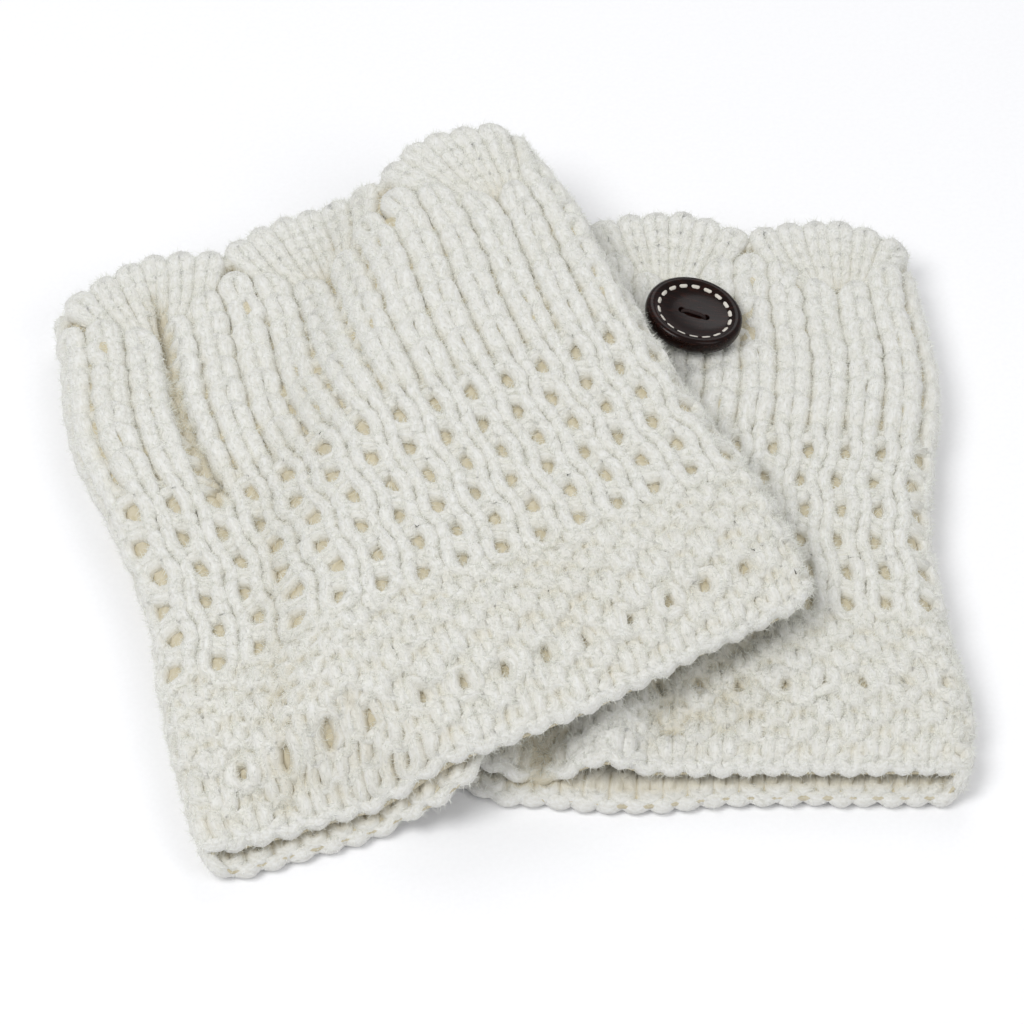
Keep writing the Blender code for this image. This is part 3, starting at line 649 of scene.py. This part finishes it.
def fibreTree(strand):
    # Geometry Nodes that stand the strand all over the yarn, leaning every way
    group = bpy.data.node_groups.new("Stray fibres", "GeometryNodeTree")
    group.interface.new_socket("Geometry", in_out="INPUT", socket_type="NodeSocketGeometry")
    group.interface.new_socket("Geometry", in_out="OUTPUT", socket_type="NodeSocketGeometry")
    start = addNode(group, "NodeGroupInput")
    above = {"data_type": "FLOAT", "operation": "GREATER_THAN"}
    rise = addNode(group, "GeometryNodeInputNamedAttribute", {"data_type": "FLOAT"}, {"Name": "rise"})
    outer = addNode(group, "FunctionNodeCompare", above,
                    {"A": rise.outputs["Attribute"], "B": fuzzLook["above"]})
    position = addNode(group, "GeometryNodeInputPosition")
    place = addNode(group, "ShaderNodeSeparateXYZ", {}, {"Vector": position.outputs["Position"]})
    high = addNode(group, "FunctionNodeCompare", above, {"A": place.outputs["Z"], "B": fuzzLook["low"] * mm})
    chosen = addNode(group, "FunctionNodeBooleanMath", {"operation": "AND"},
                     {0: outer.outputs["Result"], 1: high.outputs["Result"]})
    normal = addNode(group, "GeometryNodeInputNormal")
    facing = addNode(group, "ShaderNodeSeparateXYZ", {}, {"Vector": normal.outputs["Normal"]})
    share = addNode(group, "ShaderNodeMapRange", {}, {
        "Value": facing.outputs["Z"], "From Min": fuzzLook["facing"][0], "From Max": fuzzLook["facing"][1],
        "To Min": fuzzLook["density"] * fuzzLook["hidden"], "To Max": fuzzLook["density"]})
    spots = addNode(group, "GeometryNodeDistributePointsOnFaces", {}, {
        "Mesh": start.outputs["Geometry"], "Selection": chosen.outputs["Boolean"],
        "Density": share.outputs["Result"], "Seed": fuzzLook["seed"]})
    fibre = addNode(group, "GeometryNodeObjectInfo", {}, {"Object": strand})
    size = addNode(group, "FunctionNodeRandomValue", {"data_type": "FLOAT"},
                   {2: fuzzLook["sizes"][0], 3: fuzzLook["sizes"][1]})
    placed = addNode(group, "GeometryNodeInstanceOnPoints", {}, {
        "Points": spots.outputs["Points"], "Instance": fibre.outputs["Geometry"],
        "Rotation": spots.outputs["Rotation"], "Scale": size.outputs[1]})
    most = Vector((fuzzLook["lean"], fuzzLook["lean"], fuzzLook["twist"]))
    lean = addNode(group, "FunctionNodeRandomValue", {"data_type": "FLOAT_VECTOR"},
                   {0: -most, 1: most, "Seed": fuzzLook["leanSeed"]})
    turned = addNode(group, "GeometryNodeRotateInstances", {},
                     {"Instances": placed.outputs["Instances"], "Rotation": lean.outputs[0]})
    real = addNode(group, "GeometryNodeRealizeInstances", {}, {"Geometry": turned.outputs["Instances"]})
    addNode(group, "NodeGroupOutput", {}, {"Geometry": real.outputs["Geometry"]})
    return group


def fuzzPiece(name, sources, material):
    # one triangle for each fibre, over all the yarn of a cuff
    shape = bmesh.new()
    bmesh.ops.create_grid(shape, x_segments=1, y_segments=1, size=0.5)
    tips = [vert for vert in shape.verts if vert.co.y > 0.4]
    bmesh.ops.pointmerge(shape, verts=tips, merge_co=(0.0, 0.5, 0.0))
    for vert in shape.verts:
        height = (vert.co.y + 0.5) * fuzzLook["length"]
        vert.co = Vector((vert.co.x * fuzzLook["width"], 0.0, height)) * mm
    strand = linkShape("strand", shape)
    joined = bmesh.new()
    for source in sources:
        joined.from_mesh(source.data)
    holder = linkShape(name + "Source", joined)
    holder.modifiers.new("Stray fibres", "NODES").node_group = fibreTree(strand)
    piece = plainPiece(name, holder, material)
    bpy.data.objects.remove(strand)
    return piece


def newMaterial(name):
    material = bpy.data.materials.new(name)
    material.use_nodes = True
    tree = material.node_tree
    tree.nodes.clear()
    return material, tree


def seeThrough(tree, shader, colour, share):
    # light that passes between the fibres, so that the hollows of the knit glow softly
    passed = addNode(tree, "ShaderNodeBsdfTranslucent", {}, {"Color": colour})
    both = addNode(tree, "ShaderNodeMixShader", {}, {
        0: share, 1: shader.outputs["BSDF"], 2: passed.outputs["BSDF"]})
    addNode(tree, "ShaderNodeOutputMaterial", {}, {"Surface": both.outputs["Shader"]})


def yarnMaterial():
    # Brushed acrylic knitting yarn: matte, soft and off-white, with fine fibres that lie along the strand
    material, tree = newMaterial("Brushed acrylic yarn")
    along = addNode(tree, "ShaderNodeUVMap", {"uv_map": "UVMap"})
    # a strand's whole way round is also about one unit
    lay = [yarnLook["unit"] / size for size in yarnLook["fibre"]]
    mapped = addNode(tree, "ShaderNodeMapping", {}, {"Vector": along.outputs["UV"], "Scale": (*lay, 1.0)})
    fibres = addNode(tree, "ShaderNodeTexNoise", {}, {
        "Vector": mapped.outputs["Vector"], "Scale": 1.0, "Detail": 3.0, "Roughness": 0.6})
    place = addNode(tree, "ShaderNodeTexCoord")
    tufts = addNode(tree, "ShaderNodeTexNoise", {}, {
        "Vector": place.outputs["Object"], "Scale": repeats(yarnLook["tuft"]), "Detail": 4.0, "Roughness": 0.7})
    # painted shade: the yarn's colour runs from tan where it lies low on the cloth or in a crease to white on
    # its crests
    height = addNode(tree, "ShaderNodeAttribute", {"attribute_name": "shade"})
    level = addNode(tree, "ShaderNodeMapRange", {}, {
        "Value": height.outputs["Fac"], "From Min": yarnLook["hollow"], "From Max": yarnLook["crest"]})
    ramp = addNode(tree, "ShaderNodeValToRGB", {}, {"Fac": level.outputs["Result"]}, yarnLook["colours"])
    streak = addNode(tree, "ShaderNodeValToRGB", {}, {"Fac": fibres.outputs["Fac"]}, yarnLook["streaks"])
    colour = addNode(tree, "ShaderNodeMix", {"data_type": "RGBA", "blend_type": "MULTIPLY"}, {
        0: yarnLook["streak"], 6: ramp.outputs["Color"], 7: streak.outputs["Color"]})
    relief = addNode(tree, "ShaderNodeMath", {"operation": "ADD"}, {
        0: fibres.outputs["Fac"], 1: tufts.outputs["Fac"]})
    bump = addNode(tree, "ShaderNodeBump", {}, {
        "Strength": 0.5, "Distance": yarnLook["relief"] * mm, "Height": relief.outputs["Value"]})
    shader = addNode(tree, "ShaderNodeBsdfPrincipled", {}, {
        "Base Color": colour.outputs[2], "Roughness": 0.95, "Specular IOR Level": 0.15, "Sheen Weight": 0.25,
        "Sheen Roughness": 0.6, "Normal": bump.outputs["Normal"]})
    seeThrough(tree, shader, colour.outputs[2], yarnLook["seeThrough"])
    return material


def clothMaterial():
    # The inside of the knit: the same yarn, but tan all over, as painted shade for the hollows, eyelets and
    # seams where it shows
    material, tree = newMaterial("Knitted cloth, tan for painted shade")
    place = addNode(tree, "ShaderNodeTexCoord")
    tufts = addNode(tree, "ShaderNodeTexNoise", {}, {
        "Vector": place.outputs["Object"], "Scale": repeats(1.43), "Detail": 3.0})
    ramp = addNode(tree, "ShaderNodeValToRGB", {}, {"Fac": tufts.outputs["Fac"]},
                   ((0.30, "#d2c8ab"), (0.72, "#e0d8c2")))
    bump = addNode(tree, "ShaderNodeBump", {}, {
        "Strength": 0.6, "Distance": 0.8 * mm, "Height": tufts.outputs["Fac"]})
    shader = addNode(tree, "ShaderNodeBsdfPrincipled", {}, {
        "Base Color": ramp.outputs["Color"], "Roughness": 0.95, "Specular IOR Level": 0.1,
        "Normal": bump.outputs["Normal"]})
    seeThrough(tree, shader, ramp.outputs["Color"], 0.1)
    return material


def fuzzMaterial():
    # Loose acrylic fibres: the yarn's white, thin enough to let light through
    material, tree = newMaterial("Stray acrylic fibres")
    place = addNode(tree, "ShaderNodeTexCoord")
    shade = addNode(tree, "ShaderNodeTexNoise", {}, {"Vector": place.outputs["Object"], "Scale": repeats(3.33)})
    ramp = addNode(tree, "ShaderNodeValToRGB", {}, {"Fac": shade.outputs["Fac"]},
                   ((0.3, "#eff0ea"), (0.7, "#f6f7f2")))
    shader = addNode(tree, "ShaderNodeBsdfPrincipled", {}, {
        "Base Color": ramp.outputs["Color"], "Roughness": 0.9, "Specular IOR Level": 0.2, "Sheen Weight": 0.2})
    seeThrough(tree, shader, ramp.outputs["Color"], 0.5)
    return material


def woodMaterial():
    # Dark stained wood, turned and waxed: brown in the light, nearly black elsewhere, a soft gloss
    material, tree = newMaterial("Dark turned wood")
    place = addNode(tree, "ShaderNodeTexCoord")
    grainScale = (repeats(3.85), repeats(0.526), repeats(1.11))  # along the grain, across it, and into it
    stretch = addNode(tree, "ShaderNodeMapping", {}, {
        "Vector": place.outputs["Object"], "Scale": grainScale, "Rotation": (0.0, 0.0, 0.3)})
    grain = addNode(tree, "ShaderNodeTexNoise", {}, {
        "Vector": stretch.outputs["Vector"], "Scale": 1.0, "Detail": 4.0, "Roughness": 0.55})
    ramp = addNode(tree, "ShaderNodeValToRGB", {}, {"Fac": grain.outputs["Fac"]},
                   ((0.32, "#0c0504"), (0.55, "#1a0a06"), (0.80, "#35150b")))
    bump = addNode(tree, "ShaderNodeBump", {}, {
        "Strength": 0.12, "Distance": 0.1 * mm, "Height": grain.outputs["Fac"]})
    shader = addNode(tree, "ShaderNodeBsdfPrincipled", {}, {
        "Base Color": ramp.outputs["Color"], "Roughness": 0.2, "Specular IOR Level": 0.17,
        "Normal": bump.outputs["Normal"]})
    addNode(tree, "ShaderNodeOutputMaterial", {}, {"Surface": shader.outputs["BSDF"]})
    return material


def mottledMaterial(name, low, high, size, roughness):
    # a matte finish whose colour wanders between two shades in patches of the given size in mm
    material, tree = newMaterial(name)
    place = addNode(tree, "ShaderNodeTexCoord")
    patches = addNode(tree, "ShaderNodeTexNoise", {}, {
        "Vector": place.outputs["Object"], "Scale": repeats(size), "Detail": 3.0})
    ramp = addNode(tree, "ShaderNodeValToRGB", {}, {"Fac": patches.outputs["Fac"]}, ((0.35, low), (0.65, high)))
    shader = addNode(tree, "ShaderNodeBsdfPrincipled", {}, {
        "Base Color": ramp.outputs["Color"], "Roughness": roughness})
    addNode(tree, "ShaderNodeOutputMaterial", {}, {"Surface": shader.outputs["BSDF"]})
    return material


def buttonPiece(material):
    radius, thick = buttonLook["radius"], buttonLook["thick"]
    dish = thick - buttonLook["dish"]
    inner = radius - buttonLook["rim"]
    # from the middle of the dish over the rim, down the side and back along the flat underside
    profile = (
        (0.0, dish - 0.35), (2.5, dish - 0.3), (5.2, dish - 0.12), (inner - 1.6, dish + 0.18),
        (inner - 0.7, dish + 0.6), (inner, thick - 0.25), (inner + 0.55, thick), (radius - 0.9, thick - 0.05),
        (radius - 0.35, thick - 0.4), (radius - 0.08, thick - 1.0), (radius, thick * 0.5),
        (radius - 0.25, 0.95), (radius - 0.8, 0.35), (radius - 1.8, 0.0), (0.0, 0.0),
    )
    shape = bmesh.new()
    points = [shape.verts.new((x, 0.0, z)) for x, z in profile]
    for first, second in zip(points, points[1:]):
        shape.edges.new((first, second))
    bmesh.ops.spin(shape, geom=shape.verts[:] + shape.edges[:], cent=(0, 0, 0), axis=(0, 0, 1),
                   angle=2.0 * math.pi, steps=buttonLook["segments"], use_merge=True)
    bmesh.ops.remove_doubles(shape, verts=shape.verts, dist=0.01)
    bmesh.ops.recalc_face_normals(shape, faces=shape.faces)
    bmesh.ops.transform(shape, matrix=buttonFrame(), verts=shape.verts)
    blank = linkShape("woodButton", shape, material)
    cutters = []
    for side in (-1, 1):
        hole = bmesh.new()
        bmesh.ops.create_cone(hole, cap_ends=True, segments=buttonLook["holeSegments"], depth=4.0 * thick,
                              radius1=buttonLook["holeRadius"], radius2=buttonLook["holeRadius"])
        aside = Matrix.Translation((side * buttonLook["holeSpacing"] / 2.0, 0.0, thick / 2.0))
        bmesh.ops.transform(hole, matrix=buttonFrame() @ aside, verts=hole.verts)
        cutters.append(linkShape("buttonHole", hole))
        cut = blank.modifiers.new("Hole", "BOOLEAN")
        cut.operation = "DIFFERENCE"
        cut.object = cutters[-1]
    piece = plainPiece("woodButton", blank, material)
    for cutter in cutters:
        bpy.data.objects.remove(cutter)
    piece.data.shade_smooth()
    piece.data.set_sharp_from_angle(angle=math.radians(buttonLook["sharp"]))
    return piece


# The ring of dashes: its share of the button's radius, and a dash's sizes, end, crown and slope, in mm
dashLook = {"count": 18, "ring": 0.745, "length": 2.0, "width": 0.95, "lift": 0.55, "thick": 0.5,
            "taper": 0.55, "taperFrom": 0.33, "crown": 0.16, "slope": 0.42}


def dashPiece(material):
    # short white bars, bent along their ring and sunk a little into the dish
    shape = bmesh.new()
    ring = buttonLook["radius"] * dashLook["ring"]
    top = buttonLook["thick"] - buttonLook["dish"] + dashLook["lift"]
    for dash in range(dashLook["count"]):
        made = bmesh.ops.create_grid(shape, x_segments=6, y_segments=2, size=0.5)
        for vert in made["verts"]:
            nearEnd = smooth((abs(vert.co.x) - dashLook["taperFrom"]) / (0.5 - dashLook["taperFrom"]))
            angle = 2.0 * math.pi * dash / dashLook["count"] + vert.co.x * dashLook["length"] / ring
            away = ring + vert.co.y * dashLook["width"] * (1.0 - dashLook["taper"] * nearEnd)
            crown = dashLook["crown"] * (1.0 - (2.0 * vert.co.y) ** 2)
            height = top + crown + dashLook["slope"] * (away - ring)
            vert.co = (away * math.cos(angle), away * math.sin(angle), height)
    grown = bmesh.ops.extrude_face_region(shape, geom=shape.faces[:])
    down = [item for item in grown["geom"] if isinstance(item, bmesh.types.BMVert)]
    bmesh.ops.translate(shape, vec=(0.0, 0.0, -dashLook["thick"]), verts=down)
    bmesh.ops.recalc_face_normals(shape, faces=shape.faces)
    bmesh.ops.transform(shape, matrix=buttonFrame(), verts=shape.verts)
    piece = linkShape("buttonDashes", shape, material)
    piece.data.shade_smooth()
    return piece


# The two strands of thread between the holes, in mm
threadLook = {"radius": 0.3, "aside": 0.27, "sink": 0.4, "end": -0.2, "bend": 0.4, "rise": 0.2, "arch": 0.5}


def threadPiece(material):
    half = buttonLook["holeSpacing"] / 2.0
    top = buttonLook["thick"] - buttonLook["dish"] - threadLook["sink"]
    curve = bpy.data.curves.new("buttonThread", "CURVE")
    curve.dimensions = "3D"
    curve.bevel_depth = threadLook["radius"] * mm
    curve.bevel_resolution = 3
    curve.use_fill_caps = True
    bend = threadLook["bend"]
    rising = ((half, threadLook["end"]), (half, top - bend), (half - bend, top + threadLook["rise"]),
              (half * 0.5, top + threadLook["arch"]))
    route = [(-x, z) for x, z in rising] + list(reversed(rising))
    for aside in (-threadLook["aside"], threadLook["aside"]):
        spline = curve.splines.new("POLY")
        spline.points.add(len(route) - 1)
        for target, (x, z) in zip(spline.points, route):
            target.co = (*(buttonFrame() @ Vector((x, aside, z))), 1.0)
    piece = plainPiece("buttonThread", linkPiece("buttonThreadCurve", curve), material)
    piece.data.shade_smooth()
    return piece


def ridePiece(piece, slotName, *nodes):
    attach(piece, "root")
    if nodes:
        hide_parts(*nodes)
    print(f"{piece.name}: {sum(len(face.vertices) - 2 for face in piece.data.polygons)} triangles")


yarn = yarnMaterial()
paintedShadeCloth = clothMaterial()
fibres = fuzzMaterial()
for cuff in (overCuff, underCuff):
    name = cuff["name"]
    cuff["holes"] = makeHoles(cuff)
    cloth = clothPiece(cuff, paintedShadeCloth)
    surface = measureSurface(cuff)
    bands = (
        ("ShellTrim", fanRounds(cuff), False, "_shell_trim"),
        ("RibBand", ribRounds(cuff), True, "_rib_band"),
        ("LaceBody", laceRounds(cuff), True, "_lace_body"),
        ("HemBand", denseRounds(cuff), True, "_hem_band"),
    )
    pieces = []
    for label, rounds, closed, node in bands:
        piece = yarnPiece(name + label, rounds, closed, surface, yarn)
        ridePiece(piece, name + node + "_yarn", name + node)
        pieces.append(piece)
    edge = yarnPiece(name + "ShellEdge", shellEdge(cuff), True, surface, yarn)
    ridePiece(edge, name + "_shell_trim_yarn")
    pieces.append(edge)
    fuzz = fuzzPiece(name + "Fibres", pieces, fibres)
    ridePiece(cloth, name + "_lace_body_yarn")
    ridePiece(fuzz, name + "_lace_body_yarn")
    print(f"{name} cuff done")

# Painted dashes: chalky white, a little worn. Cotton thread: dull, nearly black
paint = mottledMaterial("White paint on wood", "#c9c3b8", "#d8d3c9", 1.11, 0.5)
thread = mottledMaterial("Dark sewing thread", "#120806", "#29110b", 0.4, 0.85)
ridePiece(buttonPiece(woodMaterial()), "button_wood", "button")
ridePiece(dashPiece(paint), "button_wood")
ridePiece(threadPiece(thread), "button_thread", "button_thread")
print("button done")

# The floor, the light and the camera, in metres: a lamp's name, place, size and watts
studio = {
    "elevation": 50.0, "distance": 0.9, "lens": 135.0, "sensor": 36.0, "floor": 3.0,
    "sky": "#fbfcff", "skyStrength": 0.47,
    "lamps": (
        ("keyLight", (-0.55, -0.35, 1.15), 0.7, 8.6),
        ("fillLight", (0.9, -0.5, 0.9), 0.9, 3.0),
        ("backLight", (0.2, 1.0, 0.9), 0.8, 3.0),
    ),
}


def pointAt(holder, place, target):
    holder.location = place
    holder.rotation_euler = (target - holder.location).to_track_quat("-Z", "Y").to_euler()


# White paper: matte and almost even
paper = mottledMaterial("Matte white paper", "#fafafb", "#fcfcfd", 1.11, 0.9)
floorShape = bmesh.new()
bmesh.ops.create_grid(floorShape, x_segments=4, y_segments=4, size=studio["floor"])
linkShape("floor", floorShape, paper)
for lampName, place, size, watts in studio["lamps"]:
    lamp = bpy.data.lights.new(lampName, "AREA")
    lamp.shape = "DISK"
    lamp.size = size
    lamp.energy = watts
    pointAt(linkPiece(lampName, lamp), place, Vector((0.0, 0.0, 0.0)))
world = bpy.data.worlds.new("studio")
world.use_nodes = True
sky = world.node_tree.nodes["Background"].inputs
sky["Color"].default_value = hexColour(studio["sky"])
sky["Strength"].default_value = studio["skyStrength"]
bpy.context.scene.world = world
bpy.context.scene.view_settings.view_transform = "Standard"

camera = bpy.data.cameras.new("camera")
camera.lens = studio["lens"]
camera.sensor_width = studio["sensor"]
cameraPiece = linkPiece("camera", camera)
aim = pairShift * mm
tilt = math.radians(studio["elevation"])
pointAt(cameraPiece, aim + studio["distance"] * Vector((0.0, -math.cos(tilt), math.sin(tilt))), aim)
bpy.context.scene.camera = cameraPiece
print("floor, lights and camera done")
